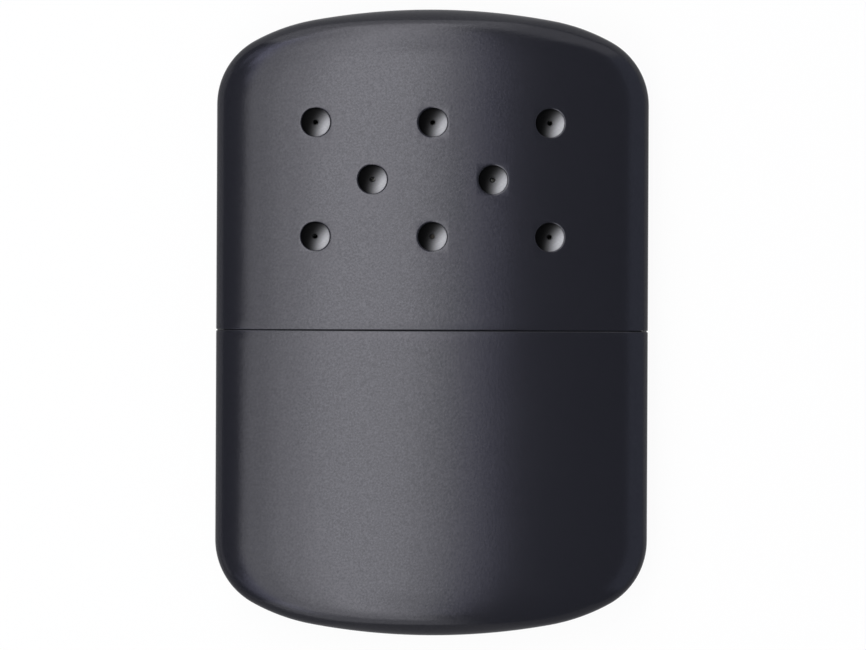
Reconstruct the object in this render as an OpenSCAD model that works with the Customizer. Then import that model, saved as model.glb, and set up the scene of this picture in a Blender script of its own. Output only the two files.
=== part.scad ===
// Catalytic hand warmer: a drawn lower case that is the fuel tank, a catalytic
// burner that pulls off its neck, and a vented cap that slides off over both.
// Each piece is drawn upright, then laid on its back with its front face up.

/* [Case outline] */
// Height over both rounded ends
case_height = 100; // [88:1:116]
// Width across the straight sides
case_width = 69; // [62:1:78]
// Thickness at the middle of the oval section
case_thickness = 13.8; // [13.2:0.1:17]
// Height of the seam above the lower end
seam_height = 48.7; // [44:0.1:52]
// Open line between the case edge and the cap edge
seam_gap = 0.3; // [0.2:0.05:0.6]
// Radius of the shoulder arc of the outline
shoulder_radius = 31; // [26:0.5:36]
// Radius of the corner arc of the outline
corner_radius = 11.6; // [9:0.1:14]
// Half angle of the crown arc, degrees
crown_angle = 10.4; // [9:0.1:12]
// Angle at which the shoulder arc ends, degrees
shoulder_angle = 29; // [26:0.5:32]
// Sheet thickness of the case and the cap
case_sheet = 0.5; // [0.4:0.05:0.7]

/* [Vents] */
// Diameter of a vent at the face
vent_diameter = 4.65; // [4:0.05:5.4]
// Diameter at the bottom of the pressed-in lip
vent_throat = 1.2; // [1:0.1:3.2]
// Depth of the pressed-in lip below the face
vent_depth = 1.1; // [0.8:0.05:1.2]
// Pitch of the vents in a row
vent_pitch = 18.6; // [16:0.1:20]
// Distance of the middle row's two vents from the centre line
vent_stagger = 9.55; // [7.5:0.05:11]
// Pitch of the vent rows
vent_row_pitch = 9.05; // [8:0.05:10]
// Height of the lowest vent row above the seam
vent_rise = 14.9; // [13:0.1:18]

/* [Tank] */
// Sheet thickness of the tank cover
cover_sheet = 0.5; // [0.4:0.05:0.6]
// Depth of the cover skirt inside the case
skirt_depth = 6; // [4:0.5:9]
// Depth of the cover's step below the case edge
step_depth = 0.9; // [0.6:0.1:1.5]
// Height of the collar above the seam
collar_rise = 9.5; // [8:0.1:10.5]
// Radius of the collar's top edge
collar_edge = 1; // [0.6:0.1:1.2]
// Gap between the collar and the grip band
collar_gap = 0.3; // [0.25:0.05:0.4]
// Sheet thickness of the grip band
band_sheet = 0.35; // [0.25:0.05:0.45]
// Height of the grip band
band_height = 5; // [4:0.5:7]
// Height of the lowest piece of wadding
wadding_split = 23; // [18:0.5:28]

/* [Neck] */
// Length of the neck across the warmer
neck_length = 26.6; // [24:0.1:27.5]
// Width of the neck front to back
neck_width = 6.6; // [6:0.1:6.8]
// Wall of the neck
neck_wall = 0.5; // [0.4:0.05:0.6]
// Height of the neck above the cover
neck_rise = 5.8; // [4.5:0.1:6.5]
// Thickness of the neck flange
flange_sheet = 0.5; // [0.4:0.05:0.6]
// Diameter of a hole in the neck screen
screen_hole = 1.3; // [1:0.1:1.5]

/* [Burner] */
// Gap between the neck and the sleeve, filled by the springs
sleeve_gap = 0.85; // [0.8:0.05:0.9]
// Sheet thickness of the sleeve and the hood
burner_sheet = 0.45; // [0.4:0.05:0.5]
// Height of the sleeve
sleeve_height = 7.5; // [6.5:0.1:8.5]
// Height of the hood
hood_height = 11.2; // [10:0.1:13]
// Width of a hood window
window_width = 2.4; // [1.8:0.1:2.8]
// Height of a hood window
window_height = 6.6; // [5:0.1:7.5]
// Pitch of the hood windows
window_pitch = 4; // [3.6:0.1:4.2]
// Thickness of the top frame
frame_sheet = 0.45; // [0.4:0.05:0.5]
// Width of the top frame's border
frame_border = 1.7; // [1.2:0.1:2.2]
// Thickness of a grip spring
spring_sheet = 0.25; // [0.2:0.05:0.3]
// Length of a grip spring
spring_length = 14; // [12:0.5:16]
// Width of a grip spring
spring_width = 2.8; // [2.2:0.1:3.2]
// Diameter of a spring rivet
rivet_diameter = 1.3; // [1:0.1:1.5]
// Distance between the two rivets of a spring
rivet_spacing = 4.4; // [3.5:0.1:6]

/* [Hidden] */
seat = 0.02;
lay_gap = 0.1;
wadding_gap = 0.3;
half_width = case_width / 2;
half_thick = case_thickness / 2;
round_fn = 72;
arc_fn = 72;
vent_fn = 32;
pill_end_fn = 32;
small_fn = 20;
beyond = 40;

// Outline arcs of the rounded end: crown, shoulder and corner
crown_radius = shoulder_radius + (half_width - corner_radius
  - (shoulder_radius - corner_radius) * sin(shoulder_angle)) / sin(crown_angle);
crown_z = case_height - crown_radius;
shoulder_x = (crown_radius - shoulder_radius) * sin(crown_angle);
shoulder_z = crown_z + (crown_radius - shoulder_radius) * cos(crown_angle);
corner_x = half_width - corner_radius;
corner_z = shoulder_z + (shoulder_radius - corner_radius) * cos(shoulder_angle);
lap = 5;
lap_rise = 3;

// Levels along the height
case_edge = seam_height - seam_gap / 2;
cap_edge = seam_height + seam_gap / 2;
cover_top = seam_height + collar_rise;
neck_top = cover_top + neck_rise;
flange_top = cover_top + seat + flange_sheet;
sleeve_bottom = flange_top + 0.25;
sleeve_top = sleeve_bottom + sleeve_height;
spring_low = sleeve_top - 1.6 - spring_width;
hood_bottom = sleeve_top - 1.6;
hood_top = hood_bottom + hood_height;
tray_bottom = sleeve_top + seat;
tray_top = tray_bottom + 0.4;
frame_bottom = hood_top + seat;
top_gauze_top = hood_top - 0.25;
top_gauze_bottom = top_gauze_top - 0.35;
screen_top = neck_top - 1.6;
screen_bottom = screen_top - 0.4;
felt_top = screen_bottom - lay_gap;
felt_bottom = cover_top - 3;
skirt_bottom = case_edge - skirt_depth;
step_level = case_edge - step_depth;

// Distances below the outer face
case_inner = case_sheet;
skirt_outer = case_inner + seat;
skirt_inner = skirt_outer + cover_sheet;
band_outer = case_inner + seat;
band_inner = band_outer + band_sheet;
collar_outer = band_inner + collar_gap;
collar_inner = collar_outer + cover_sheet;

// Lengths and widths of the burner's rounded plan
sleeve_length = neck_length + 2 * sleeve_gap + 2 * burner_sheet;
sleeve_width = neck_width + 2 * sleeve_gap + 2 * burner_sheet;
hood_in_length = sleeve_length + 2 * seat;
hood_in_width = sleeve_width + 2 * seat;
hood_length = hood_in_length + 2 * burner_sheet;
hood_width = hood_in_width + 2 * burner_sheet;
gauze_length = hood_in_length - 0.1;
gauze_width = hood_in_width - 0.1;
gauze_sheet = 0.35;
mat_length = gauze_length - 2 * gauze_sheet - 0.1;
mat_width = gauze_width - 2 * gauze_sheet - 0.1;

vent_columns = [-1, 0, 1];
window_columns = [-2.5 : 1 : 2.5];

steel_black = [0.16, 0.16, 0.18];
nickel = [0.78, 0.78, 0.76];
solder = [0.6, 0.6, 0.6];
cotton = [0.92, 0.9, 0.85];
felt_grey = [0.6, 0.58, 0.55];
mesh_steel = [0.62, 0.62, 0.62];
fibre = [0.7, 0.68, 0.66];

// Lays an upright piece on its back, front face up, centred on its length
module laid() {
  translate([0, -case_height / 2, half_thick])
    rotate([-90, 0, 0])
      children();
}

// Oval body of revolution whose section lies inset below the outer face
module oval(inset) {
  for (quarter = [0 : 3])
    scale([1, (half_thick - inset) / (half_width - inset), 1])
      rotate([0, 0, 90 * quarter])
        rotate_extrude(angle = 90, $fn = round_fn)
          children();
}

// Upright oval block between two levels
module oval_block(inset, low, high) {
  oval(inset)
    translate([0, low])
      square([half_width - inset, high - low]);
}

// One arc of the outline, as a sector from its centre
module sector(cx, cz, r, from_angle, to_angle) {
  translate([cx, cz])
    intersection() {
      circle(r = r, $fn = arc_fn);
      polygon([[0, 0], [2 * r * sin(from_angle), 2 * r * cos(from_angle)],
               [2 * r * sin(to_angle), 2 * r * cos(to_angle)]]);
    }
}

// Half outline of the rounded end, inset by a sheet, down to a level
module end_profile(inset, low) {
  edge_x = half_width - inset;
  intersection() {
    union() {
      intersection() {
        sector(0, crown_z, crown_radius - inset, 0, crown_angle);
        translate([0, shoulder_z - lap])
          square([edge_x, case_height]);
      }
      sector(shoulder_x, shoulder_z, shoulder_radius - inset, crown_angle - lap, shoulder_angle);
      sector(corner_x, corner_z, corner_radius - inset, shoulder_angle - lap, 90);
      polygon([[0, low - 1], [edge_x, low - 1], [edge_x, corner_z], [corner_x + lap, corner_z + lap],
               [corner_x, corner_z + lap_rise], [shoulder_x, shoulder_z + lap_rise],
               [0, shoulder_z + lap_rise]]);
    }
    translate([0, low])
      square([edge_x + 1, case_height]);
  }
}

// Rounded upper end of the warmer, inset by a sheet, down to a level
module end_body(inset, low) {
  oval(inset)
    end_profile(inset, low);
}

// The lower end is the same form turned over
module turned_over() {
  translate([0, 0, case_height])
    mirror([0, 0, 1])
      children();
}

// Block with a rounded-end plan
module slot_block(length, width, low, high) {
  straight = length - width;
  translate([0, 0, low])
    linear_extrude(height = high - low) {
      square([straight, width], center = true);
      for (side = [-1, 1])
        translate([side * straight / 2, 0])
          circle(d = width, $fn = pill_end_fn);
    }
}

// Tube with a rounded-end plan
module slot_tube(length, width, wall, low, high) {
  difference() {
    slot_block(length, width, low, high);
    slot_block(length - 2 * wall, width - 2 * wall, low - 1, high + 1);
  }
}

// Depth of the front face behind the widest point, at a distance across
function face_depth(x) = half_thick * (1 - sqrt(1 - pow(x / half_width, 2)));

// Places a child at each vent, on the face, pointing inwards
module at_vents() {
  for (row = [0, 2])
    for (column = vent_columns)
      translate([column * vent_pitch, -half_thick + face_depth(column * vent_pitch),
                 seam_height + vent_rise + row * vent_row_pitch])
        rotate([-90, 0, 0])
          children();
  for (side = [-1, 1])
    translate([side * vent_stagger, -half_thick + face_depth(vent_stagger),
               seam_height + vent_rise + vent_row_pitch])
      rotate([-90, 0, 0])
        children();
}

// Cone that continues the vent's taper through the face
module vent_cone(extra) {
  slope = (vent_diameter - vent_throat) / 2 / vent_depth;
  translate([0, 0, -vent_depth])
    cylinder(r1 = vent_diameter / 2 + extra + slope * vent_depth, r2 = vent_throat / 2 + extra,
             h = 2 * vent_depth, $fn = vent_fn);
}

module lower_case() {
  color(steel_black)
    laid()
      turned_over()
        difference() {
          end_body(0, case_height - case_edge);
          end_body(case_inner, case_height - case_edge - 2);
        }
}

module tank_cover() {
  color(nickel)
    laid()
      difference() {
        union() {
          oval_block(skirt_outer, skirt_bottom, step_level);
          oval(collar_outer) {
            translate([0, step_level - 1])
              square([half_width - collar_outer, cover_top - collar_edge - step_level + 1]);
            translate([0, cover_top - collar_edge - 1])
              square([half_width - collar_outer - collar_edge, collar_edge + 1]);
            translate([half_width - collar_outer - collar_edge, cover_top - collar_edge])
              circle(r = collar_edge, $fn = small_fn);
          }
        }
        oval_block(skirt_inner, skirt_bottom - 1, step_level - cover_sheet);
        oval_block(collar_inner, step_level - 3, cover_top - cover_sheet);
        slot_block(neck_length + 2 * seat, neck_width + 2 * seat, cover_top - 2, cover_top + 2);
      }
}

module cover_solder_ring() {
  ring_height = 0.7;
  color(solder)
    laid()
      difference() {
        oval_block(skirt_outer, skirt_bottom - seat - ring_height, skirt_bottom - seat);
        oval_block(skirt_inner, skirt_bottom - ring_height - 1, skirt_bottom + 1);
      }
}

module filler_neck() {
  flange_reach = 1.1;
  color(nickel)
    laid() {
      slot_tube(neck_length, neck_width, neck_wall, felt_bottom + 0.5, neck_top);
      slot_tube(neck_length + 2 * flange_reach, neck_width + 2 * flange_reach,
                flange_reach + neck_wall / 2, cover_top + seat, flange_top);
    }
}

module neck_screen() {
  hole_pitch = 2;
  color(nickel)
    laid()
      difference() {
        slot_block(neck_length - 2 * neck_wall - 2 * seat, neck_width - 2 * neck_wall - 2 * seat,
                   screen_bottom, screen_top);
        for (row = [-0.5, 0.5])
          for (column = [-4.5 : 1 : 4.5])
            translate([column * hole_pitch, row * hole_pitch, screen_bottom - 1])
              cylinder(d = screen_hole, h = 3, $fn = small_fn);
      }
}

module neck_felt() {
  color(felt_grey)
    laid()
      slot_block(neck_length - 2 * neck_wall - 0.2, neck_width - 2 * neck_wall - 0.2,
                 felt_bottom, felt_top);
}

module wadding_upper() {
  color(cotton)
    laid()
      oval_block(collar_inner + 0.2, skirt_bottom, felt_bottom - lay_gap);
}

module wadding_middle() {
  color(cotton)
    laid()
      oval_block(case_inner + wadding_gap, wadding_split + lay_gap / 2, skirt_bottom - 1);
}

module wadding_lower() {
  color(cotton)
    laid()
      turned_over()
        end_body(case_inner + wadding_gap, case_height - wadding_split + lay_gap / 2);
}

module burner_sleeve() {
  color(nickel)
    laid()
      difference() {
        slot_tube(sleeve_length, sleeve_width, burner_sheet, sleeve_bottom, sleeve_top);
        rivet_holes();
      }
}

// Rivets stand in two columns, through the front and the rear wall
module at_rivets() {
  for (side = [-1, 1])
    for (column = [-1, 1])
      translate([column * rivet_spacing / 2, side * (sleeve_width / 2 - burner_sheet / 2),
                 spring_low + spring_width / 2])
        rotate([90, 0, 0])
          children();
}

module rivet_holes() {
  at_rivets()
    cylinder(d = rivet_diameter + 2 * seat, h = burner_sheet * 2, center = true, $fn = small_fn);
}

module burner_hood() {
  window_low = tray_top + 1;
  color(nickel)
    laid()
      difference() {
        slot_tube(hood_length, hood_width, burner_sheet, hood_bottom, hood_top);
        for (column = window_columns)
          translate([column * window_pitch - window_width / 2, -beyond / 2, window_low])
            cube([window_width, beyond, window_height]);
      }
}

module burner_top_frame() {
  color(nickel)
    laid()
      slot_tube(hood_length, hood_width, frame_border, frame_bottom, frame_bottom + frame_sheet);
}

module mat_tray() {
  slot_length = 3.4;
  color(nickel)
    laid()
      difference() {
        slot_block(hood_in_length - 2 * seat, hood_in_width - 2 * seat, tray_bottom, tray_top);
        for (column = window_columns)
          translate([column * window_pitch - 0.6, -slot_length / 2, tray_bottom - 1])
            cube([1.2, slot_length, 3]);
      }
}

module catalyst_mat() {
  color(fibre)
    laid()
      slot_block(mat_length, mat_width, tray_top + lay_gap, top_gauze_bottom - lay_gap);
}

module side_gauze() {
  color(mesh_steel)
    laid()
      slot_tube(gauze_length, gauze_width, gauze_sheet, tray_top + seat, top_gauze_bottom - seat);
}

module top_gauze() {
  color(mesh_steel)
    laid()
      slot_block(gauze_length, gauze_width, top_gauze_bottom, top_gauze_top);
}

// Leaf spring bowed towards the neck, drawn for the front wall
module grip_spring() {
  bow = sleeve_gap - spring_sheet - seat - 0.06;
  bow_radius = (pow(spring_length / 2, 2) + bow * bow) / 2 / bow;
  foot_depth = neck_width / 2 + sleeve_gap - seat;
  translate([0, 0, spring_low])
    linear_extrude(height = spring_width)
      difference() {
        intersection() {
          translate([0, -foot_depth + bow - bow_radius + spring_sheet])
            circle(r = bow_radius, $fn = 720);
          translate([-spring_length / 2, -foot_depth])
            square([spring_length, sleeve_gap]);
        }
        translate([0, -foot_depth + bow - bow_radius])
          circle(r = bow_radius, $fn = 720);
      }
}

module front_grip_spring() {
  color(nickel)
    laid()
      grip_spring();
}

module rear_grip_spring() {
  color(nickel)
    laid()
      mirror([0, 1, 0])
        grip_spring();
}

module spring_rivets() {
  color(nickel)
    laid()
      at_rivets()
        cylinder(d = rivet_diameter, h = burner_sheet * 2, center = true, $fn = small_fn);
}

module cap_shell() {
  color(steel_black)
    laid()
      difference() {
        end_body(0, cap_edge);
        difference() {
          end_body(case_inner, cap_edge - 2);
          at_vents()
            vent_cone(case_sheet);
        }
        at_vents()
          vent_cone(0);
      }
}

module cap_grip_band() {
  color(nickel)
    laid()
      difference() {
        oval_block(band_outer, cap_edge + 0.6, cap_edge + 0.6 + band_height);
        oval_block(band_inner, cap_edge - 1, cap_edge + band_height + 2);
      }
}

lower_case();
tank_cover();
cover_solder_ring();
filler_neck();
neck_screen();
neck_felt();
wadding_upper();
wadding_middle();
wadding_lower();
burner_sleeve();
burner_hood();
burner_top_frame();
mat_tray();
catalyst_mat();
side_gauze();
top_gauze();
front_grip_spring();
rear_grip_spring();
spring_rivets();
cap_shell();
cap_grip_band();
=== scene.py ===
"""Looks of the catalytic hand warmer: coated shells, burner, gauze and wadding, floor, light and camera."""

import math
import random

import bpy
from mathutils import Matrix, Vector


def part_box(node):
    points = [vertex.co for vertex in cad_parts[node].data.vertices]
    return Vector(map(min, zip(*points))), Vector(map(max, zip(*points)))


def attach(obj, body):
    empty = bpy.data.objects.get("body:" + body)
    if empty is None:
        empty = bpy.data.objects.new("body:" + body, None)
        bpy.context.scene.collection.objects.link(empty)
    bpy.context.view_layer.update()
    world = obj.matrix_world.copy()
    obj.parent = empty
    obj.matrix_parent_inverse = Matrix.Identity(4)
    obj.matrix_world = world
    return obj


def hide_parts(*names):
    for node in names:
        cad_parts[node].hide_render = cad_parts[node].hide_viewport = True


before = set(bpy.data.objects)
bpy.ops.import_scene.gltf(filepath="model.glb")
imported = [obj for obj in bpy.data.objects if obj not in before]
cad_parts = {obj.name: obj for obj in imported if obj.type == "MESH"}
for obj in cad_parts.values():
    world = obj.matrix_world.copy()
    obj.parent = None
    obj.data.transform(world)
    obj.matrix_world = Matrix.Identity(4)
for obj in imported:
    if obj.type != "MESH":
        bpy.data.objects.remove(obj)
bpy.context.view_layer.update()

# ---------------------------------------------------------------- sizes

# Lengths are in millimetres and upright (x across, y to the back, z up from the lower end), unless a
# comment says otherwise. lay() turns such a point to the part's own frame.
MM = 0.001

# Outline: a straight side, then corner, shoulder and crown arcs that meet without a kink
HEIGHT = 100.0
HALF_W = 34.5
HALF_T = 6.9
SHOULDER_R = 31.0
CORNER_R = 11.6
CROWN_A = math.radians(10.4)
SHOULDER_A = math.radians(29.0)
CROWN_R = SHOULDER_R + (
    HALF_W - CORNER_R - (SHOULDER_R - CORNER_R) * math.sin(SHOULDER_A)
) / math.sin(CROWN_A)
CROWN_Z = HEIGHT - CROWN_R
SHOULDER_X = (CROWN_R - SHOULDER_R) * math.sin(CROWN_A)
SHOULDER_Z = CROWN_Z + (CROWN_R - SHOULDER_R) * math.cos(CROWN_A)
CORNER_X = HALF_W - CORNER_R
CORNER_Z = SHOULDER_Z + (SHOULDER_R - CORNER_R) * math.cos(SHOULDER_A)
CORNER_STEPS = 26
SHOULDER_STEPS = 18
CROWN_STEPS = 24

# Sheet and seam: the coated edges nearly meet, and a step behind them, painted black as the seam's shade,
# leaves only STEP_GAP
SHEET = 0.5
SEAM = 48.7
EDGE_GAP = 0.11
EDGE_INSET = 0.2
STEP_GAP = 0.01
# How far in a rounded edge lies at its middle, as a share of its radius
ROUND_MIDDLE = 0.29

# The shells' grid: the widest spacing of its levels, its even columns round the oval, and the least
# angle between one of these and one of a vent's own grid lines
LEVEL_SPACING = 1.3
COLUMNS = 180
COLUMN_CLEAR = math.pi / 260
# Taken off a span's count of steps, so that rounding adds no step to an exact span
ROUND_OFF = 1e-6

# Vents: rows of three, two and three
VENT_R = 2.325
THROAT_R = 0.35
VENT_DEPTH = 1.1
VENT_PITCH = 18.6
VENT_STAGGER = 9.55
ROW_PITCH = 9.05
VENT_RISE = 14.9
LOW_ROW = SEAM + VENT_RISE
VENTS = [(side * VENT_PITCH, LOW_ROW + row * ROW_PITCH) for row in (0, 2) for side in (-1, 0, 1)]
VENTS += [(side * VENT_STAGGER, LOW_ROW + ROW_PITCH) for side in (-1, 1)]

# A vent's wall: a rounded lip, a dish down to the throat, and the dish's back inside the shell, which
# starts a little wider and deeper than the throat
DISH_R = VENT_R - 0.035
LIP_REACH = 0.27
LIP_DEPTH = 0.2
BACK_R = THROAT_R + 0.1
BACK_DEPTH = VENT_DEPTH + 0.02
LIP_STEPS = 6
DISH_STEPS = 14
BACK_STEPS = 6
# Half side of the square block of grid cells that a vent takes up, and its cells each way
BLOCK = 2.7
BLOCK_CELLS = 8
# Side of the square that a wall's texture place is given in
WALL_SPAN = 8.0


def lay(x, y, z):
    """An upright point in millimetres to the part's frame, in metres, where it lies on its back."""
    return (x * MM, (z - HEIGHT / 2) * MM, (HALF_T - y) * MM)


def node_box(name):
    """Half width, half depth, lower level and upper level of a CAD node, to a micrometre."""
    low, high = ([value / MM for value in corner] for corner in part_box(name))
    sizes =((high[0] - low[0]) / 2, (high[2] - low[2]) / 2, low[1] + HEIGHT / 2, high[1] + HEIGHT / 2)
    return tuple(round(size, 3) for size in sizes)


def make_mesh(name, verts, faces, materials, face_slots=None, smooth=True):
    """A linked object from points, faces and each face's material slot."""
    mesh = bpy.data.meshes.new(name)
    mesh.from_pydata(verts, [], faces)
    mesh.validate()
    for material in materials:
        mesh.materials.append(material)
    if face_slots:
        mesh.polygons.foreach_set("material_index", face_slots)
    mesh.polygons.foreach_set("use_smooth", [smooth] * len(mesh.polygons))
    mesh.update()
    obj = bpy.data.objects.new(name, mesh)
    bpy.context.collection.objects.link(obj)
    return obj


# ---------------------------------------------------------------- shader nodes

# Most of a noise's values lie in the first band; the second is for values that run from 0 to 1
NOISE_BAND = (0.3, 0.7)
WHOLE_BAND = (0.0, 1.0)


class Shader:
    """One material, and short forms of the nodes that the materials are built from.

    Wherever a value is asked for, it may be a constant or another node's output.
    """

    def __init__(self, name):
        self.material = bpy.data.materials.new(name)
        self.material.use_nodes = True
        self.tree = self.material.node_tree
        self.principled = self.tree.nodes["Principled BSDF"]
        place = self.add("ShaderNodeTexCoord")
        self.coords = place.outputs["Object"]
        self.uv = place.outputs["UV"]

    def feed(self, target, value):
        if isinstance(value, bpy.types.NodeSocket):
            self.tree.links.new(value, target)
        else:
            target.default_value = value

    def add(self, kind, inputs=None, **settings):
        node = self.tree.nodes.new(kind)
        for key, value in settings.items():
            setattr(node, key, value)
        for key, value in (inputs or {}).items():
            self.feed(node.inputs[key], value)
        return node

    def noise(self, scale, detail, roughness=0.5, source=None):
        vector = self.coords if source is None else source
        inputs = {"Vector": vector, "Scale": scale, "Detail": detail, "Roughness": roughness}
        return self.add("ShaderNodeTexNoise", inputs).outputs["Fac"]

    def mapped(self, source, scale, shift=(0.0, 0.0, 0.0), turn=0.0):
        inputs = {"Vector": source, "Scale": scale, "Location": shift, "Rotation": (0.0, 0.0, turn)}
        return self.add("ShaderNodeMapping", inputs).outputs["Vector"]

    def maths(self, operation, *values):
        return self.add("ShaderNodeMath", dict(enumerate(values)), operation=operation).outputs[0]

    def level(self):
        """The object's own Y, which runs along the warmer's height."""
        return self.add("ShaderNodeSeparateXYZ", {"Vector": self.coords}).outputs["Y"]

    def ramp(self, source, low, high, band=NOISE_BAND):
        node = self.add("ShaderNodeValToRGB", {"Fac": source})
        for element, position, colour in zip(node.color_ramp.elements, band, (low, high)):
            element.position = position
            element.color = (*colour, 1.0)
        return node.outputs["Color"]

    def spread(self, source, low, high, band=NOISE_BAND, kind="LINEAR"):
        inputs = {"Value": source, "From Min": band[0], "From Max": band[1], "To Min": low, "To Max": high}
        return self.add("ShaderNodeMapRange", inputs, interpolation_type=kind).outputs["Result"]

    def mix(self, share, first, second, blend="MIX"):
        node = self.add("ShaderNodeMix", {"Factor": share}, data_type="RGBA", blend_type=blend)
        ends = [socket for socket in node.inputs if socket.type == "RGBA"]
        self.feed(ends[0], first)
        self.feed(ends[1], second)
        return [socket for socket in node.outputs if socket.type == "RGBA"][0]

    def bump(self, source, strength, distance, below=None):
        inputs = {"Height": source, "Strength": strength, "Distance": distance}
        if below is not None:
            inputs["Normal"] = below
        return self.add("ShaderNodeBump", inputs).outputs["Normal"]

    def finish(self, **values):
        """Sets the shader's own sockets and gives the material."""
        for key, value in values.items():
            self.feed(self.principled.inputs[key.replace("_", " ")], value)
        return self.material


# ---------------------------------------------------------------- materials

# Noise scales are in cycles to a metre, and bump distances in metres
COAT_TINT = (0.93, 0.92, 1.0, 1.0)
# Two near-blacks for the painted shade in and beside the seam
SEAM_SHADE_BLACKS = ((0.003, 0.003, 0.004), (0.006, 0.006, 0.007))

# Vent walls, where light and shade are painted in: the point from a vent's middle that the painted lit side
# is nearest to, the distances from it between which the wall goes from painted light to painted shade, and
# how sharply it does
PAINTED_LIGHT_POINT = (5.44, -2.54, 0.0)
PAINTED_LIGHT_NEAR = 4.0
PAINTED_SHADE_FAR = 8.1
PAINTED_SHADE_POWER = 3.5
PAINTED_SHADE_TONE = (0.0015, 0.0015, 0.001545)
PAINTED_LIGHT_TONE = (0.48, 0.48, 0.4944)
# The wall's scratches: their direction, and their cycles to a millimetre along it and across it
SCRATCH_TURN = math.radians(-57.0)
SCRATCH_SCALE = (2.2, 9.0, 9.0)
SCRATCH_TONE = (0.80, 0.80, 0.80)
UNSCRATCHED = (1.0, 1.0, 1.0)

# Painted shade on the tank cover, in metres from the seam: full black to the first distance, gone at the
# second, with an edge that wavers
SEAM_SHADE_FULL = 0.0011
SEAM_SHADE_GONE = 0.0014
SEAM_SHADE_WAVER = 0.0005

# Loose fibre: its strands' stretch, and how much coarser and deeper the clumps are than the strands
STRAND_STRETCH = (1.0, 0.35, 1.0)
CLUMP_SCALE = 0.22
CLUMP_DENT = 3


def satin_black():
    """The satin coat outside: fine grain over a soft orange peel."""
    s = Shader("satin_black_coat")
    grain = s.noise(5200.0, detail=2.0, roughness=0.6)
    cloud = s.noise(90.0, detail=3.0)
    glint = s.noise(3300.0, detail=2.0, roughness=0.6)
    peel = s.bump(s.noise(2400.0, detail=2.0), strength=0.22, distance=0.00003)
    return s.finish(
        Base_Color=s.ramp(grain, (0.0070, 0.0072, 0.0100), (0.0122, 0.0124, 0.0160)),
        Roughness=s.spread(cloud, 0.165, 0.185),
        Specular_IOR_Level=s.spread(glint, 0.405, 0.595),
        Specular_Tint=COAT_TINT,
        IOR=1.58,
        Normal=s.bump(grain, strength=0.22, distance=0.00003, below=peel),
    )


def metal(name, low, high, roughness, grain_scale=900.0, stretch=None, dent=0.06):
    """Bare metal: a cloudy tone between two colours, and a grain that may run one way."""
    s = Shader(name)
    source = s.mapped(s.coords, stretch) if stretch else s.coords
    grain = s.noise(grain_scale, detail=4.0, roughness=0.6, source=source)
    cloud = s.noise(140.0, detail=3.0)
    return s.finish(
        Base_Color=s.ramp(cloud, low, high),
        Roughness=s.spread(grain, *roughness),
        Metallic=1.0,
        Normal=s.bump(grain, strength=dent, distance=0.00004),
    )


def vent_wall_painted_light():
    """The pressed-in walls, with light and shade painted in: pale on one side, black on the other."""
    s = Shader("vent_wall_painted_light")
    grain = s.noise(3800.0, detail=3.0, roughness=0.65)
    middle = (-WALL_SPAN / 2, -WALL_SPAN / 2, 0.0)
    place = s.mapped(s.uv, (WALL_SPAN, WALL_SPAN, WALL_SPAN), middle)
    # Painted light and shade: pale near one point of the vent and black away from it, as if light fell from
    # that side
    away = s.add("ShaderNodeVectorMath", {0: place, 1: PAINTED_LIGHT_POINT}, operation="DISTANCE").outputs["Value"]
    reach = s.spread(away, 1.0, 0.0, (PAINTED_LIGHT_NEAR, PAINTED_SHADE_FAR), "SMOOTHSTEP")
    wall = s.ramp(s.maths("POWER", reach, PAINTED_SHADE_POWER), PAINTED_SHADE_TONE, PAINTED_LIGHT_TONE, WHOLE_BAND)
    streaks = s.noise(1.0, detail=4.0, source=s.mapped(place, SCRATCH_SCALE, turn=SCRATCH_TURN))
    return s.finish(
        Base_Color=s.mix(1.0, wall, s.ramp(streaks, SCRATCH_TONE, UNSCRATCHED), "MULTIPLY"),
        Roughness=s.spread(grain, 0.45, 0.6),
        IOR=1.15,
        Normal=s.bump(grain, strength=0.3, distance=0.00004),
    )


def cover_with_seam_shade():
    """Nickel plate, with painted shade: black round the case's edge, where the seam's gap lies in shadow.
    """
    s = Shader("nickel_cover")
    grain = s.noise(1500.0, detail=3.0, roughness=0.6)
    cloud = s.noise(140.0, detail=3.0)
    away = s.maths("ABSOLUTE", s.maths("SUBTRACT", s.level(), (SEAM - HEIGHT / 2) * MM))
    edge = s.maths("MULTIPLY_ADD", grain, SEAM_SHADE_WAVER, away)
    plated = s.spread(edge, 0.0, 1.0, (SEAM_SHADE_FULL, SEAM_SHADE_GONE), "SMOOTHSTEP")
    nickel = s.ramp(cloud, (0.30, 0.295, 0.28), (0.37, 0.365, 0.35))
    return s.finish(
        Base_Color=s.mix(plated, s.ramp(grain, *SEAM_SHADE_BLACKS), nickel),
        Roughness=s.spread(plated, 0.42, 0.36, WHOLE_BAND),
        Metallic=plated,
        IOR=1.3,
        Normal=s.bump(grain, strength=0.06, distance=0.00004),
    )


def seam_shade_black():
    """Painted shade: near-black on the step behind the coated edges, where the seam's gap lies in shadow.
    """
    s = Shader("painted_seam_shade")
    grain = s.noise(3800.0, detail=3.0, roughness=0.6)
    return s.finish(
        Base_Color=s.ramp(grain, *SEAM_SHADE_BLACKS),
        Roughness=s.spread(grain, 0.55, 0.7),
        IOR=1.3,
        Normal=s.bump(grain, strength=0.3, distance=0.00003),
    )


def fibrous(name, low, high, scale, dent):
    """Loose fibre: strands that lie along the warmer's height, over soft clumps."""
    s = Shader(name)
    strands = s.noise(scale, detail=5.0, roughness=0.7, source=s.mapped(s.coords, STRAND_STRETCH))
    clumps = s.noise(scale * CLUMP_SCALE, detail=3.0, roughness=0.6)
    under = s.bump(clumps, strength=0.5, distance=dent * CLUMP_DENT)
    return s.finish(
        Base_Color=s.ramp(strands, low, high, (0.3, 0.72)),
        Roughness=0.92,
        Sheen_Weight=0.25,
        Normal=s.bump(strands, strength=0.8, distance=dent, below=under),
    )


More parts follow.
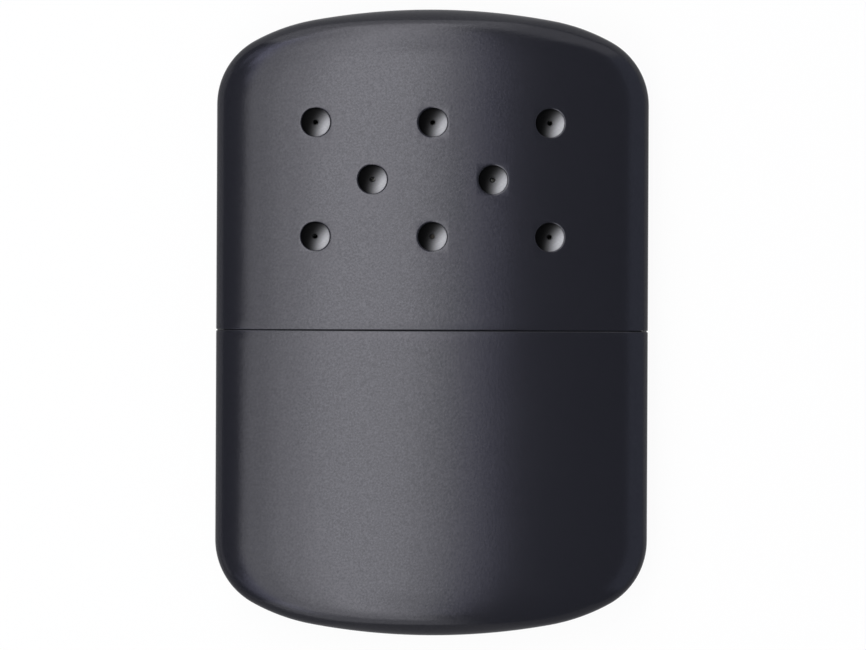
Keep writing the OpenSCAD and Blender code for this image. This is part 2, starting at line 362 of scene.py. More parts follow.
COAT = satin_black()
SEAM_PAINTED_SHADE = seam_shade_black()
VENT_WALL_PAINTED_LIGHT = vent_wall_painted_light()
COVER = cover_with_seam_shade()
NICKEL = metal("nickel_plate", (0.34, 0.335, 0.32), (0.42, 0.415, 0.40), (0.30, 0.42))
INSIDE = metal("smoked_inside", (0.190, 0.182, 0.172), (0.280, 0.268, 0.252), (0.42, 0.58), 1600.0)
BURNT = metal(
    "heat_darkened_steel",
    (0.032, 0.029, 0.026),
    (0.075, 0.068, 0.060),
    (0.40, 0.56),
    grain_scale=1100.0,
    stretch=(6.0, 1.0, 6.0),
)
SPRING = metal(
    "spring_strip",
    (0.34, 0.34, 0.34),
    (0.42, 0.42, 0.41),
    (0.25, 0.4),
    grain_scale=700.0,
    stretch=(1.0, 6.0, 6.0),
)
WIRE = metal("gauze_wire", (0.42, 0.41, 0.39), (0.56, 0.55, 0.52), (0.3, 0.45), 2500.0)
SOLDER = metal("dull_solder", (0.42, 0.43, 0.44), (0.52, 0.52, 0.53), (0.4, 0.6), 600.0, dent=0.4)
COTTON = fibrous("cotton_wadding", (0.70, 0.67, 0.60), (0.86, 0.84, 0.78), 900.0, 0.0002)
FELT = fibrous("neck_felt", (0.42, 0.40, 0.35), (0.60, 0.57, 0.51), 2200.0, 0.0001)
FIBRE = fibrous("platinum_wool", (0.16, 0.155, 0.15), (0.46, 0.44, 0.41), 2600.0, 0.0001)


# ---------------------------------------------------------------- coated shells

SHELL_MATERIALS = [COAT, INSIDE, VENT_WALL_PAINTED_LIGHT, SEAM_PAINTED_SHADE]
COAT_SLOT, INSIDE_SLOT, WALL_SLOT, SHADE_SLOT = range(len(SHELL_MATERIALS))


def outline_stations(levels):
    """Stations of the half outline up to its top: ("line", z) or ("arc", centre, radius, angle)."""
    stations = [("line", z) for z in levels]
    arcs = (
        ((CORNER_X, CORNER_Z), CORNER_R, math.pi / 2, SHOULDER_A, CORNER_STEPS),
        ((SHOULDER_X, SHOULDER_Z), SHOULDER_R, SHOULDER_A, CROWN_A, SHOULDER_STEPS),
        ((0.0, CROWN_Z), CROWN_R, CROWN_A, 0.0, CROWN_STEPS),
    )
    for number, (centre, radius, start, end, steps) in enumerate(arcs):
        first = 0 if number == 0 else 1
        for k in range(first, steps + 1):
            stations.append(("arc", centre, radius, start + (end - start) * k / steps))
    return stations


def station_point(station, inset):
    """Half width and level of a station, on the outline or a distance inside it."""
    if station[0] == "line":
        return HALF_W - inset, station[1]
    _, (x, z), radius, angle = station
    return x + (radius - inset) * math.sin(angle), z + (radius - inset) * math.cos(angle)


def shell_point(phi, station, inset):
    """A point of the oval at a station, phi round from the right side by way of the front."""
    half, z = station_point(station, inset)
    flatness = (HALF_T - inset) / (HALF_W - inset)
    return (half * math.cos(phi), -flatness * half * math.sin(phi), z)


def face_y(x):
    """Depth of the front face at a distance from the middle, where the outline's side is straight."""
    return -HALF_T * math.sqrt(max(0.0, 1 - (x / HALF_W) ** 2))


def mark(value):
    """A grid line's place, rounded so that equal lines are found as equal."""
    return round(value, 5)


def block_lines(middle):
    """The grid lines, one way, of the block round a vent's middle."""
    return [mark(middle - BLOCK + 2 * BLOCK * k / BLOCK_CELLS) for k in range(BLOCK_CELLS + 1)]


def lines_between(marks, spacing):
    """The marks in order, with even lines between them no further apart than the spacing."""
    marks = sorted(set(mark(m) for m in marks))
    lines = [marks[0]]
    for low, high in zip(marks, marks[1:]):
        steps = max(1, math.ceil((high - low) / spacing - ROUND_OFF))
        lines += [low + (high - low) * k / steps for k in range(1, steps + 1)]
    return lines


def shell_columns(xs):
    """Angles round the oval: the vents' grid lines, and even angles that aren't close to one."""
    own = [math.acos(x / HALF_W) for x in xs]
    even = [2 * math.pi * k / COLUMNS for k in range(COLUMNS)]
    return sorted(own + [p for p in even if all(abs(p - q) > COLUMN_CLEAR for q in own)])


def vent_profile():
    """Rings of one vent, as (radius, depth, slot): rounded lip, dish, throat, and the dish's back."""
    rings = []
    for k in range(LIP_STEPS + 1):
        t = math.pi / 2 * k / LIP_STEPS
        rings.append((DISH_R + LIP_REACH * (1 - math.sin(t)), LIP_DEPTH * (1 - math.cos(t)), COAT_SLOT))
    low = math.acos(THROAT_R / DISH_R)
    for k in range(1, DISH_STEPS + 1):
        t = low * k / DISH_STEPS
        depth = LIP_DEPTH + (VENT_DEPTH - LIP_DEPTH) * math.sin(t)
        rings.append((DISH_R * math.cos(t), depth, WALL_SLOT))
    rings.append((BACK_R, BACK_DEPTH, INSIDE_SLOT))
    low = math.acos((THROAT_R + SHEET) / BLOCK)
    for k in range(BACK_STEPS):
        t = low * (1 - k / BACK_STEPS)
        rings.append((BLOCK * math.cos(t), SHEET + (BACK_DEPTH - SHEET) * math.sin(t), INSIDE_SLOT))
    return rings


class Skin:
    """Points and faces of one coated shell; a turned shell has its closed end below."""

    def __init__(self, turned):
        self.turned = turned
        self.verts = []
        self.faces = []
        self.slots = []
        self.wall_places = {}

    def add(self, point):
        x, y, z = point
        self.verts.append(lay(x, y, HEIGHT - z if self.turned else z))
        return len(self.verts) - 1

    def face(self, points, slot, inward=False):
        self.faces.append(list(points) if inward == self.turned else list(reversed(points)))
        self.slots.append(slot)

    def bridge(self, first, second, slot):
        """Joins two closed rings of points with a band of faces."""
        for i in range(len(first)):
            k = (i + 1) % len(first)
            self.face((first[i], first[k], second[k], second[i]), slot)

    def sheet_points(self, stations, phis, inset):
        """Rows of points over one side of the sheet, with a single point at the top."""
        rows = [[self.add(shell_point(phi, station, inset)) for phi in phis] for station in stations[:-1]]
        return rows, self.add((0.0, 0.0, HEIGHT - inset))

    def sheet_faces(self, rows, top, holes, slot, inward):
        """Faces over one side of the sheet, apart from the vents' blocks."""
        count = len(rows[0])
        for j, (row, above) in enumerate(zip(rows, rows[1:])):
            for i in range(count):
                k = (i + 1) % count
                if (i, j) not in holes:
                    self.face((row[i], above[i], above[k], row[k]), slot, inward)
        for i in range(count):
            self.face((rows[-1][i], top, rows[-1][(i + 1) % count]), slot, inward)

    def mouth_edge(self, phis, mouth, step, outer_row, inner_row):
        """Edge of the mouth: rounded outside, a step towards the other shell, and square inside."""
        rounded = EDGE_INSET * ROUND_MIDDLE
        rim = [(rounded, mouth + rounded, COAT_SLOT), (EDGE_INSET, mouth, COAT_SLOT)]
        # The step and the sheet's cut edge behind it are painted black as the seam's shade
        if step:
            rim.append((EDGE_INSET, mouth - step, SHADE_SLOT))
        rim.append((SHEET, mouth - step, SHADE_SLOT))
        last = outer_row
        for inset, level, slot in rim:
            row = [self.add(shell_point(phi, ("line", level), inset)) for phi in phis]
            self.bridge(last, row, slot)
            last = row
        self.bridge(last, inner_row, INSIDE_SLOT)

    def wall_point(self, vent, radius, depth, angle):
        """Adds a point of a vent's wall, which goes from the curved face to a flat throat."""
        across = radius * math.cos(angle)
        up = radius * math.sin(angle)
        share = min(1.0, depth / VENT_DEPTH)
        y = face_y(vent[0] + across) * (1 - share) + face_y(vent[0]) * share + depth
        point = self.add((vent[0] + across, y, vent[1] + up))
        self.wall_places[point] = (0.5 + across / WALL_SPAN, 0.5 + up / WALL_SPAN)
        return point

    def fill_vent(self, vent, border, stations, phis, outer, inner):
        """Fills a vent's block by rings, from the face's square border to the throat and back inside."""
        angles = []
        for i, j in border:
            angles.append(math.atan2(stations[j][1] - vent[1], HALF_W * math.cos(phis[i]) - vent[0]))
        last = [outer[j][i] for i, j in border]
        for radius, depth, slot in vent_profile():
            ring = [self.wall_point(vent, radius, depth, angle) for angle in angles]
            self.bridge(last, ring, slot)
            last = ring
        self.bridge(last, [inner[j][i] for i, j in border], INSIDE_SLOT)

    def build(self, name):
        """The shell's object, with each vent wall's place in its texture square."""
        obj = make_mesh(name, self.verts, self.faces, SHELL_MATERIALS, self.slots)
        layer = obj.data.uv_layers.new(name="walls")
        for loop in obj.data.loops:
            layer.data[loop.index].uv = self.wall_places.get(loop.vertex_index, (0.5, 0.5))
        return obj


def block_border(columns, rows):
    """Grid points round a block's border, as (column, row), from its lower left corner."""
    border = [(i, rows[0]) for i in columns[:-1]]
    border += [(columns[-1], j) for j in rows[:-1]]
    border += [(i, rows[-1]) for i in columns[:0:-1]]
    border += [(columns[0], j) for j in rows[:0:-1]]
    return border


def shell(name, mouth, step, vents, turned):
    """One coated shell: outer face, mouth edge, inner face and, on the cap, the vents."""
    xs = {line for x, _ in vents for line in block_lines(x)}
    zs = {line for _, z in vents for line in block_lines(z)}
    stations = outline_stations(lines_between([mouth + EDGE_INSET, CORNER_Z, *zs], LEVEL_SPACING)[:-1])
    phis = shell_columns(xs)
    column_of = {mark(HALF_W * math.cos(phi)): i for i, phi in enumerate(phis) if phi < math.pi}
    row_of = {mark(station[1]): j for j, station in enumerate(stations) if station[0] == "line"}

    borders = []
    holes = set()
    for x, z in vents:
        columns = [column_of[line] for line in block_lines(x)]
        rows = [row_of[line] for line in block_lines(z)]
        borders.append(block_border(columns, rows))
        holes |= {(i, j) for i in range(min(columns), max(columns)) for j in range(min(rows), max(rows))}

    skin = Skin(turned)
    outer, outer_top = skin.sheet_points(stations, phis, 0.0)
    inner, inner_top = skin.sheet_points(stations, phis, SHEET)
    skin.sheet_faces(outer, outer_top, holes, COAT_SLOT, False)
    skin.sheet_faces(inner, inner_top, holes, INSIDE_SLOT, True)
    skin.mouth_edge(phis, mouth, step, outer[0], inner[0])
    for vent, border in zip(vents, borders):
        skin.fill_vent(vent, border, stations, phis, outer, inner)
    return skin.build(name)


cap_skin = shell("coated_cap", SEAM + EDGE_GAP / 2, 0.0, VENTS, False)
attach(cap_skin, "cap")
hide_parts("cap_shell")

case_skin = shell("coated_case", HEIGHT - SEAM + EDGE_GAP / 2, EDGE_GAP - STEP_GAP, [], True)
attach(case_skin, "case")
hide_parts("lower_case")


# ---------------------------------------------------------------- finishes of the rigid solids

FINISHES = {
    "filler_neck": NICKEL,
    "neck_screen": NICKEL,
    "burner_top_frame": NICKEL,
    "mat_tray": NICKEL,
    "spring_rivets": NICKEL,
    "cap_grip_band": NICKEL,
    "burner_sleeve": BURNT,
    "burner_hood": BURNT,
    "tank_cover": COVER,
    "front_grip_spring": SPRING,
    "rear_grip_spring": SPRING,
    "cover_solder_ring": SOLDER,
}
FOLDED = ("burner_hood", "burner_sleeve", "burner_top_frame")
FOLD_ROUNDING = 0.08
SHARP_ANGLE = math.radians(40.0)
WELD_REACH = 0.002


def dress(node, material):
    """Gives a CAD node its material."""
    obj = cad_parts[node]
    if not obj.material_slots:
        obj.data.materials.append(material)
    for slot in obj.material_slots:
        slot.material = material


def soften(node):
    """Gives a folded piece the small rounding of its sheared edges."""
    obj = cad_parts[node]
    weld = obj.modifiers.new("weld", "WELD")
    weld.merge_threshold = WELD_REACH * MM
    bevel = obj.modifiers.new("edge_rounding", "BEVEL")
    bevel.width = FOLD_ROUNDING * MM
    bevel.segments = 2
    bevel.limit_method = "ANGLE"
    bevel.angle_limit = SHARP_ANGLE
    bevel.harden_normals = True


for node, material in FINISHES.items():
    dress(node, material)
for node in FOLDED:
    soften(node)


# ---------------------------------------------------------------- gauze

WIRE_R = 0.085
WIRE_SIDES = 5
GAUZE_PITCH = 0.72
# How far a wire bends to pass over and under the ones that it crosses
SWAY = WIRE_R * 0.95
# Points along a wire, to each wire that it crosses
UPRIGHT_STEPS = 4
LOOP_STEPS = 3
# How much shorter and narrower the woven outline is than the gauze's box, so that all wire is inside
SIDE_INSET = 0.35
TOP_INSET = 0.2
# How far the top gauze's outermost wires and all its wire ends stay inside its outline
TOP_MARGIN = 0.05
# A wire shorter than this on each side of the middle, at the rounded ends, is left out
SHORTEST_HALF = 0.3
# A wire whose direction has more than this of z takes its thickness square to y, and others to z
STEEP = 0.8


def cross(a, b):
    return [a[1] * b[2] - a[2] * b[1], a[2] * b[0] - a[0] * b[2], a[0] * b[1] - a[1] * b[0]]


def unit(a):
    length = math.sqrt(sum(v * v for v in a)) or 1.0
    return [v / length for v in a]


def tube(verts, faces, path, radius, closed, sides):
    """Adds a thin round wire along a path of upright points."""
    count = len(path)
    rings = []
    for i, p in enumerate(path):
        before = path[(i - 1) % count] if closed or i > 0 else p
        after = path[(i + 1) % count] if closed or i < count - 1 else p
        along = unit([after[k] - before[k] for k in range(3)])
        u = unit(cross(along, (0.0, 0.0, 1.0) if abs(along[2]) < STEEP else (0.0, 1.0, 0.0)))
        v = cross(along, u)
        ring = []
        for k in range(sides):
            c = math.cos(2 * math.pi * k / sides) * radius
            s = math.sin(2 * math.pi * k / sides) * radius
            ring.append(len(verts))
            verts.append(lay(*(p[m] + u[m] * c + v[m] * s for m in range(3))))
        rings.append(ring)
    for a, b in zip(rings, rings[1:] + rings[:1] if closed else rings[1:]):
        for k in range(sides):
            m = (k + 1) % sides
            faces.append((a[k], a[m], b[m], b[k]))
    if not closed:
        faces.append(tuple(reversed(rings[0])))
        faces.append(tuple(rings[-1]))


def slot_around(length, width):
    """Length of the way round a rounded-end outline."""
    return 2 * (length - width) + math.pi * width


def slot_path(length, width, distance):
    """Point and outward normal at a distance along a rounded-end outline."""
    straight = length - width
    r = width / 2
    d = distance % slot_around(length, width)
    if d < straight:
        return (-straight / 2 + d, -r, 0.0, -1.0)
    d -= straight
    if d < math.pi * r:
        t = -math.pi / 2 + d / r
        return (straight / 2 + r * math.cos(t), r * math.sin(t), math.cos(t), math.sin(t))
    d -= math.pi * r
    if d < straight:
        return (straight / 2 - d, r, 0.0, 1.0)
    t = math.pi / 2 + (d - straight) / r
    return (-straight / 2 + r * math.cos(t), r * math.sin(t), math.cos(t), math.sin(t))


def side_mesh():
    """The gauze round the mat: upright wires, and level loops that pass in and out between them."""
    half_w, half_t, low, high = node_box("side_gauze")
    length = 2 * half_w - SIDE_INSET
    width = 2 * half_t - SIDE_INSET
    around = slot_around(length, width)
    low += WIRE_R
    high -= WIRE_R
    uprights = 2 * round(around / GAUZE_PITCH / 2)
    loops = round((high - low) / GAUZE_PITCH)
    verts = []
    faces = []
    for i in range(uprights):
        x, y, nx, ny = slot_path(length, width, around * i / uprights)
        path = []
        for j in range(loops * UPRIGHT_STEPS + 1):
            out = SWAY * math.cos(math.pi * (j / UPRIGHT_STEPS + i))
            path.append((x + nx * out, y + ny * out, low + (high - low) * j / (loops * UPRIGHT_STEPS)))
        tube(verts, faces, path, WIRE_R, False, WIRE_SIDES)
    for j in range(loops + 1):
        path = []
        for i in range(uprights * LOOP_STEPS):
            x, y, nx, ny = slot_path(length, width, around * i / (uprights * LOOP_STEPS))
            out = -SWAY * math.cos(math.pi * (i / LOOP_STEPS + j))
            path.append((x + nx * out, y + ny * out, low + (high - low) * j / loops))
        tube(verts, faces, path, WIRE_R, True, WIRE_SIDES)
    return make_mesh("woven_side_gauze", verts, faces, [WIRE])


def woven_wire(half, spacing, number, sway):
    """Places along a wire from -half to half, with its rise over and fall under the wires it crosses."""
    steps = max(UPRIGHT_STEPS, int(half * 2 / GAUZE_PITCH * UPRIGHT_STEPS))
    places = [-half + 2 * half * k / steps for k in range(steps + 1)]
    return [(place, sway * math.cos(math.pi * (place / spacing + number))) for place in places]


def top_mesh():
    """The gauze over the mat: wires across and along a rounded-end outline."""
    half_w, half_t, low, high = node_box("top_gauze")
    length = 2 * half_w - TOP_INSET
    width = 2 * half_t - TOP_INSET
    straight = length - width
    r = width / 2
    level = (low + high) / 2
    across = round(length / GAUZE_PITCH)
    along = round(width / GAUZE_PITCH)
    verts = []
    faces = []
    for i in range(across + 1):
        x = -length / 2 + TOP_MARGIN + (length - 2 * TOP_MARGIN) * i / across
        over = max(0.0, abs(x) - straight / 2)
        half = math.sqrt(max(0.0, r * r - over * over)) - TOP_MARGIN
        if half >= SHORTEST_HALF:
            path = [(x, y, level + rise) for y, rise in woven_wire(half, width / along, i, SWAY)]
            tube(verts, faces, path, WIRE_R, False, WIRE_SIDES)
    for j in range(along + 1):
        y = -width / 2 + TOP_MARGIN + (width - 2 * TOP_MARGIN) * j / along
        half = straight / 2 + math.sqrt(max(0.0, r * r - y * y)) - TOP_MARGIN
        path = [(x, y, level + rise) for x, rise in woven_wire(half, length / across, j, -SWAY)]
        tube(verts, faces, path, WIRE_R, False, WIRE_SIDES)
    return make_mesh("woven_top_gauze", verts, faces, [WIRE])


side_gauze = side_mesh()
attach(side_gauze, "burner")
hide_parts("side_gauze")

top_gauze = top_mesh()
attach(top_gauze, "burner")
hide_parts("top_gauze")


# ---------------------------------------------------------------- soft fillings

# A lumpy surface is a sum of waves, each shorter and lower than the last, and the sum is divided so
# that it stays between about -1 and 1
LUMP_WAVES = 5
WAVE_SHORTER = 0.6
WAVE_LOWER = 0.5
WAVE_PHASE = 6.28
LUMP_SUM = 2.6
# Points round a soft piece, rows of them up its side, and rings over each end
SOFT_COLUMNS = 72
SOFT_ROWS = 26
END_RINGS = 7
# A block draws in towards its ends, over the first and last eighth of its height, by this share
END_PART = 8
END_DRAW = 0.05
# How far its end faces dip, and how far their lumps go either way
END_DIP = 0.12
END_LUMP_SCALE = 1.4
END_LUMP_SEED = 5
# Clearance between the lowest wadding and the case's rounded end
WADDING_GAP = 0.3


def lump(x, y, z, scale, seed):
    """A smooth wandering value between about -1 and 1."""
    value = 0.0
    rng = random.Random(seed)
    for k in range(LUMP_WAVES):
        a, b, c = (rng.uniform(-1, 1) for _ in range(3))
        phase = rng.uniform(0, WAVE_PHASE)
        place = (a * x + b * y + c * z) * scale * (1 + WAVE_SHORTER * k)
        value += math.sin(place + phase) / (1 + WAVE_LOWER * k)
    return value / LUMP_SUM


def full_width(_):
    """The same share of the width at every level."""
    return 1.0


def end_chord(x, centre_z, radius, depth):
    """Half width of the outline, at a depth from its closed end, where an arc bounds it."""
    return x + math.sqrt(max(0.0, radius ** 2 - (depth - centre_z) ** 2))


def end_width(z):
    """Share of the full half width, for a piece that fills the case's rounded lower end."""
    depth = HEIGHT - z
    inset = SHEET + WADDING_GAP
    if depth <= CORNER_Z:
        return 1.0
    if depth <= SHOULDER_Z + (SHOULDER_R - inset) * math.cos(SHOULDER_A):
        half = end_chord(CORNER_X, CORNER_Z, CORNER_R - inset, depth)
    else:
        half = end_chord(SHOULDER_X, SHOULDER_Z, SHOULDER_R - inset, depth)
    return half / (HALF_W - inset)


def soft_side(box, sharp, pull, scale, seed, profile):
    """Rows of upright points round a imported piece: rounded plan, lumpy, drawn in at its ends."""
    half_w, half_t, low, high = box
    rows = []
    for j in range(SOFT_ROWS + 1):
        t = j / SOFT_ROWS
        z = low + (high - low) * t
        end = min(1.0, min(t, 1 - t) * END_PART)
        row = []
        for i in range(SOFT_COLUMNS):
            c = math.cos(2 * math.pi * i / SOFT_COLUMNS)
            s = math.sin(2 * math.pi * i / SOFT_COLUMNS)
            reach = (abs(c) ** sharp + abs(s) ** sharp) ** (-1 / sharp) * profile(z)
            x = half_w * c * reach
            y = half_t * s * reach
            k = 1 - pull * (0.5 + 0.5 * lump(x, y, z, scale, seed)) - END_DRAW * (1 - end) ** 2
            row.append((x * k, y * k, z))
        rows.append(row)
    return rows


def soft_form(box, seed, sharp=2.0, pull=0.05, scale=0.5, profile=full_width):
    """Points and faces of a packed soft piece that stays inside its box.

    sharp is 2 for an oval plan and more for a squarer one. pull is how deep its lumps go, as a share
    of its width, and a larger scale puts them closer together. profile gives the share of its width
    at each level.
    """
    rows = soft_side(box, sharp, pull, scale, seed, profile)
    verts = [lay(*point) for row in rows for point in row]
    faces = []
    for j in range(SOFT_ROWS):
        for i in range(SOFT_COLUMNS):
            k = (i + 1) % SOFT_COLUMNS
            a = j * SOFT_COLUMNS
            b = a + SOFT_COLUMNS
            faces.append((a + i, a + k, b + k, b + i))
    for row, first, upper in ((rows[0], 0, False), (rows[-1], SOFT_ROWS * SOFT_COLUMNS, True)):
        inner = list(range(first, first + SOFT_COLUMNS))
        for ring in range(1, END_RINGS):
            share = 1 - ring / END_RINGS
            start = len(verts)
            for x, y, z in row:
                wander = lump(x * share, y * share, z, scale * END_LUMP_SCALE, seed + END_LUMP_SEED)
                dip = END_DIP * (1 + wander) * (-1 if upper else 1)
                verts.append(lay(x * share, y * share, z + dip))
            for i in range(SOFT_COLUMNS):
                k = (i + 1) % SOFT_COLUMNS
                quad = (inner[i], inner[k], start + k, start + i)
                faces.append(quad if upper else quad[::-1])
            inner = list(range(start, start + SOFT_COLUMNS))
        faces.append(tuple(inner if upper else inner[::-1]))
    return verts, faces


def inside(node, side, depth, below, above):
    """A node's box, made smaller by a distance at its sides, its faces, its lower and its upper end."""
    half_w, half_t, low, high = node_box(node)
    return (half_w - side, half_t - depth, low + below, high - above)


low_box = inside("wadding_lower", side=0.05, depth=0.05, below=1.4, above=0.05)
middle_box = inside("wadding_middle", side=0.05, depth=0.05, below=0.2, above=0.05)
high_box = inside("wadding_upper", side=0.13, depth=0.08, below=0.1, above=0.05)
waddings = (
    ("packed_wadding_low", "wadding_lower", soft_form(low_box, seed=3, profile=end_width)),
    ("packed_wadding_mid", "wadding_middle", soft_form(middle_box, seed=4)),
    ("packed_wadding_high", "wadding_upper", soft_form(high_box, seed=6)),
)
for name, node, form in waddings:
    piece = make_mesh(name, *form, [COTTON])
    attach(piece, "case")
    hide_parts(node)

felt_box = inside("neck_felt", side=0.05, depth=0.02, below=0.05, above=0.05)
felt_form = soft_form(felt_box, seed=9, sharp=5.0, pull=0.02, scale=1.4)
felt = make_mesh("felt_plug", *felt_form, [FELT])
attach(felt, "case")
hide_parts("neck_felt")


# ---------------------------------------------------------------- catalyst mat

FIBRE_SEED = 21
FIBRE_COUNT = 420
FIBRE_POINTS = 7
FIBRE_R = 0.04
FIBRE_SIDES = 3
# The outline that the loose fibres lie along, and how far inside and outside it they may be
FIBRE_LENGTH = 27.4
FIBRE_WIDTH = 7.4
FIBRE_DEPTH = -0.05
FIBRE_LIFT = 0.28
# How far a fibre starts from the mat's lower and upper end, and how near it may come to them
START_BELOW = 0.4
START_ABOVE = 0.5
CLEAR_BELOW = 0.2
CLEAR_ABOVE = 0.3
# A fibre's step round the mat and up it, by how much it may start to turn and rise, and by how much
# these may change at each point
STEP_ROUND = 0.35
STEP_UP = 0.4
FIRST_TURN = 1.2
FIRST_RISE = 0.5
TURN_CHANGE = 0.6
RISE_CHANGE = 0.5


def catalyst_wool():
    """The mat: a lumpy core with loose fibres that wander over its sides."""
    box = inside("catalyst_mat", side=0.565, depth=0.47, below=0.05, above=0.1)
    verts, faces = soft_form(box, seed=12, sharp=5.0, pull=0.07, scale=1.6)
    low, high = node_box("catalyst_mat")[2:]
    rng = random.Random(FIBRE_SEED)
    for _ in range(FIBRE_COUNT):
        distance = rng.uniform(0, slot_around(FIBRE_LENGTH, FIBRE_WIDTH))
        z = rng.uniform(low + START_BELOW, high - START_ABOVE)
        turn = rng.uniform(-FIRST_TURN, FIRST_TURN)
        rise = rng.uniform(-FIRST_RISE, FIRST_RISE)
        path = []
        for _ in range(FIBRE_POINTS):
            distance += turn * STEP_ROUND
            turn += rng.uniform(-TURN_CHANGE, TURN_CHANGE)
            z = min(max(z + rise * STEP_UP, low + CLEAR_BELOW), high - CLEAR_ABOVE)
            rise += rng.uniform(-RISE_CHANGE, RISE_CHANGE)
            x, y, nx, ny = slot_path(FIBRE_LENGTH, FIBRE_WIDTH, distance)
            out = rng.uniform(FIBRE_DEPTH, FIBRE_LIFT)
            path.append((x + nx * out, y + ny * out, z))
        tube(verts, faces, path, FIBRE_R, False, FIBRE_SIDES)
    return make_mesh("platinum_wool_mat", verts, faces, [FIBRE])


wool = catalyst_wool()
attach(wool, "burner")
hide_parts("catalyst_mat")


# ---------------------------------------------------------------- floor and world

# Tones of the floor as the camera sees it, and as the warmer reflects it, which is darker beyond the
# warmer's lower end; the change lies between two places in metres along the warmer's height
FLOOR_SEEN = (0.86, 0.86, 0.86, 1.0)
FLOOR_BEYOND = (0.12, 0.12, 0.13)
FLOOR_BESIDE = (0.36, 0.36, 0.36)
FLOOR_CHANGE = (-0.062, -0.036)
# How much of the floor's light is its own, so that it shows as white and still keeps a shadow
FLOOR_GLOW = (("Is Camera Ray", 0.94), ("Is Glossy Ray", 0.15), ("Is Transmission Ray", 0.15))
FLOOR_REACH = 3.0
WORLD_COLOUR = (0.93, 0.97, 1.14, 1.0)
WORLD_STRENGTH = 0.15


def white_floor():
    """A floor that shows as white, takes a shadow, and is darker where the warmer's rims reflect it."""
    s = Shader("pale_floor")
    path = s.add("ShaderNodeLightPath")
    place = s.spread(s.level(), 0.0, 1.0, FLOOR_CHANGE, "SMOOTHSTEP")
    reflected = s.ramp(place, FLOOR_BEYOND, FLOOR_BESIDE, WHOLE_BAND)
    s.finish(
        Base_Color=s.mix(path.outputs["Is Camera Ray"], reflected, FLOOR_SEEN),
        Roughness=0.9,
        Specular_IOR_Level=0.0,
    )
    share = 0.0
    for ray, part in FLOOR_GLOW:
        share = s.maths("MULTIPLY_ADD", path.outputs[ray], part, share)
    glow = s.add("ShaderNodeEmission", {"Strength": 1.0})
    mix = s.add("ShaderNodeMixShader", {0: share, 1: s.principled.outputs[0], 2: glow.outputs[0]})
    s.feed(s.tree.nodes["Material Output"].inputs["Surface"], mix.outputs[0])
    return s.material


floor_corners = [(x * FLOOR_REACH, y * FLOOR_REACH, 0.0) for x, y in ((-1, -1), (1, -1), (1, 1), (-1, 1))]
floor = make_mesh("floor", floor_corners, [(0, 1, 2, 3)], [white_floor()], smooth=False)

world = bpy.data.worlds.new("studio")
bpy.context.scene.world = world
world.use_nodes = True
background = world.node_tree.nodes["Background"]
background.inputs["Color"].default_value = WORLD_COLOUR
background.inputs["Strength"].default_value = WORLD_STRENGTH


# ---------------------------------------------------------------- lamps

WHITE = (1.0, 1.0, 1.0)
FALL_BLUE = (0.90, 0.90, 1.25)
EDGE_BLUE = (0.92, 0.93, 1.20)
CARD_BLUE = (0.70, 0.78, 1.0)
SOFTBOX_TURN = math.radians(-2.0)

# Level lamps that look down: name, height in metres, edges as angles from overhead in degrees (left,
# right, near the warmer's lower end, far from it), radiance and colour. The key is laid together from
# patches, which grade its reflection along and across the face, and the corner lamps carry it round
# the left corners.
SOFTBOXES = (
    ("key_wide_near", 1.00, -43.2, 4.3, -68.0, -3.0, 1.51, WHITE),
    ("key_wide_far", 1.00, -40.2, 4.3, -3.0, 72.0, 1.51, WHITE),
    ("key_middle", 0.98, -27.0, 1.3, -60.0, 64.0, 0.71, WHITE),
    ("key_near_end", 0.96, -17.6, -6.0, -56.0, -28.0, 1.00, WHITE),
    ("key_core_near", 0.96, -17.6, -1.9, -28.0, 0.0, 1.00, WHITE),
    ("key_core_far", 0.96, -17.6, -0.5, 0.0, 27.0, 1.28, WHITE),
    ("key_far_end", 0.96, -17.6, -6.0, 27.0, 60.0, 1.05, WHITE),
    ("key_fall", 0.94, 4.2, 8.7, -56.0, 56.0, 0.66, FALL_BLUE),
    ("key_far_left", 0.96, -32.0, -17.6, 36.0, 60.0, 0.30, WHITE),
    ("corner_far", 1.00, -50.0, -40.2, 38.0, 66.0, 1.50, EDGE_BLUE),
    ("corner_far_edge", 1.00, -65.0, -50.0, 52.0, 67.0, 0.50, EDGE_BLUE),
    ("corner_far_side", 1.00, -44.5, -40.2, 20.0, 38.0, 1.00, EDGE_BLUE),
    ("corner_near", 1.00, -52.0, -43.2, -76.0, -39.0, 1.00, EDGE_BLUE),
    ("corner_near_edge", 1.00, -65.0, -52.0, -78.0, -53.0, 0.50, EDGE_BLUE),
    ("corner_near_side", 1.00, -46.0, -43.2, -39.0, -20.0, 0.80, EDGE_BLUE),
)

# Standing lamps that give the rims their light: name, middle and size in metres, tilt and turn in
# degrees, radiance and colour
CARDS = (
    ("far_card", (-0.45, 2.4, 0.62), (1.8, 1.2), -90.0, 0.0, 1.0, WHITE),
    ("near_card", (-0.50, -2.0, 0.50), (1.2, 0.95), 90.0, 0.0, 0.75, WHITE),
    ("far_right_card", (1.05, 2.05, 0.78), (1.4, 1.2), -90.0, -27.0, 0.55, WHITE),
    ("right_card", (1.5, 0.0, 0.66), (3.0, 1.28), -90.0, -90.0, 0.24, CARD_BLUE),
    ("left_card", (-2.4, 0.0, 0.26), (3.0, 0.5), -90.0, 90.0, 0.32, WHITE),
)


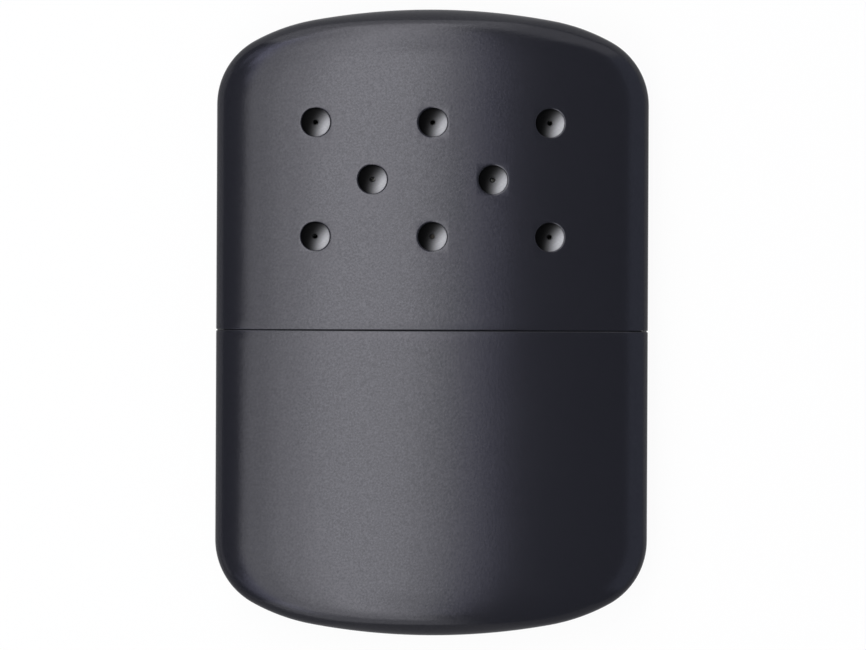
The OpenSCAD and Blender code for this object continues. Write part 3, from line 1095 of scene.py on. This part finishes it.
def area_lamp(name, size, place, rotation, radiance, colour):
    """A rectangular lamp of an even radiance, whatever its size."""
    data = bpy.data.lights.new(name, "AREA")
    data.shape = "RECTANGLE"
    data.size, data.size_y = size
    data.energy = radiance * math.pi * data.size * data.size_y
    data.color = colour
    obj = bpy.data.objects.new(name, data)
    obj.location = place
    obj.rotation_euler = rotation
    bpy.context.collection.objects.link(obj)


def softbox(name, height, left, right, near, far, radiance, colour):
    """A level lamp between four angles, turned a little about the vertical."""
    x0, x1, y0, y1 = (height * math.tan(math.radians(angle)) for angle in (left, right, near, far))
    x = (x0 + x1) / 2
    y = (y0 + y1) / 2
    c = math.cos(SOFTBOX_TURN)
    s = math.sin(SOFTBOX_TURN)
    place = (x * c - y * s, x * s + y * c, height)
    area_lamp(name, (x1 - x0, y1 - y0), place, (0.0, 0.0, SOFTBOX_TURN), radiance, colour)


def card(name, middle, size, tilt, turn, radiance, colour):
    """A standing lamp; it faces down before it is tilted about its own width and turned."""
    area_lamp(name, size, middle, (math.radians(tilt), 0.0, math.radians(turn)), radiance, colour)


for row in SOFTBOXES:
    softbox(*row)
for row in CARDS:
    card(*row)


# ---------------------------------------------------------------- camera

# The photograph's width in pixels, and its scale at the outline; the camera looks straight down
PHOTO_WIDTH = 866
PX_PER_MM = 6.256
LENS = 200.0
SENSOR = 36.0
CAMERA_X = 0.16
CAMERA_Y = -0.41
CAMERA_ROLL = math.radians(0.26)
CAMERA_DISTANCE = PHOTO_WIDTH / PX_PER_MM * LENS / SENSOR


def aim_camera():
    """A camera over the warmer's middle that frames it as the photograph does."""
    data = bpy.data.cameras.new("camera")
    data.lens = LENS
    data.sensor_width = SENSOR
    data.sensor_fit = "HORIZONTAL"
    data.clip_start = 0.01
    camera = bpy.data.objects.new("camera", data)
    camera.location = (CAMERA_X * MM, CAMERA_Y * MM, (HALF_T + CAMERA_DISTANCE) * MM)
    camera.rotation_euler = (0.0, 0.0, CAMERA_ROLL)
    bpy.context.collection.objects.link(camera)
    return camera


bpy.context.scene.camera = aim_camera()
bpy.context.scene.view_settings.view_transform = "Standard"
